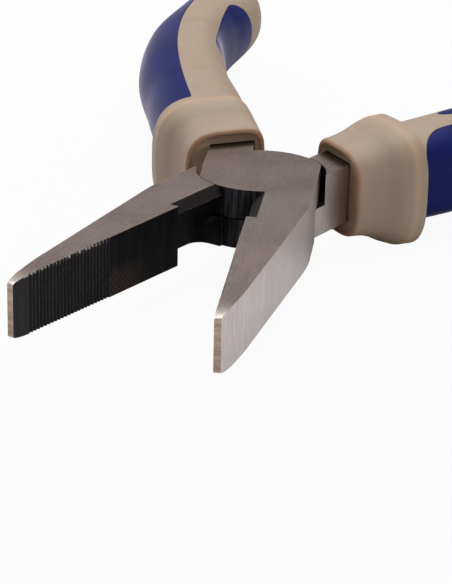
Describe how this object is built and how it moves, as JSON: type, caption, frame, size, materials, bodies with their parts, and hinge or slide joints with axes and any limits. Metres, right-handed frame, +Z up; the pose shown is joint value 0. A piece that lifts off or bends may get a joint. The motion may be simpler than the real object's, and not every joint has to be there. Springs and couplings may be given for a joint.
{
  "type": "lineman pliers",
  "caption": "Half-open lineman pliers with long tapering toothed jaws, side cutters, a flush lap joint and bowed two-colour grips with thumb guards.",
  "frame": {"origin": "centre of the joint on its underside face, on the pivot axis", "axes": "+Y from the pivot towards the nose, midway between the open jaws; +Z up along the pivot axis; +X to the right of a user whose jaws point away"},
  "size_m": [0.1252, 0.1985, 0.024],
  "materials": {
    "ground_steel": "satin, ground flats with black-oxide working faces",
    "rivet_steel": "satin, ground flush",
    "beige_grip": "soft matte",
    "blue_grip": "soft satin"
  },
  "bodies": {
    "upper_lever": {"upper_half": "ground_steel", "pivot_rivet": "rivet_steel", "upper_grip_core": "beige_grip", "upper_grip_outer_pad": "blue_grip", "upper_grip_inner_pad": "blue_grip", "upper_grip_badge": "blue_grip"},
    "lower_lever": {"lower_half": "ground_steel", "lower_grip_core": "beige_grip", "lower_grip_outer_pad": "blue_grip", "lower_grip_inner_pad": "blue_grip", "lower_grip_badge": "blue_grip"}
  },
  "joints": [
    {"name": "pivot", "type": "hinge", "parent": "upper_lever", "child": "lower_lever", "pos_m": [0, 0, 0], "axis": [0, 0, 1], "range_deg": [-22, 28.4]}
  ]
}
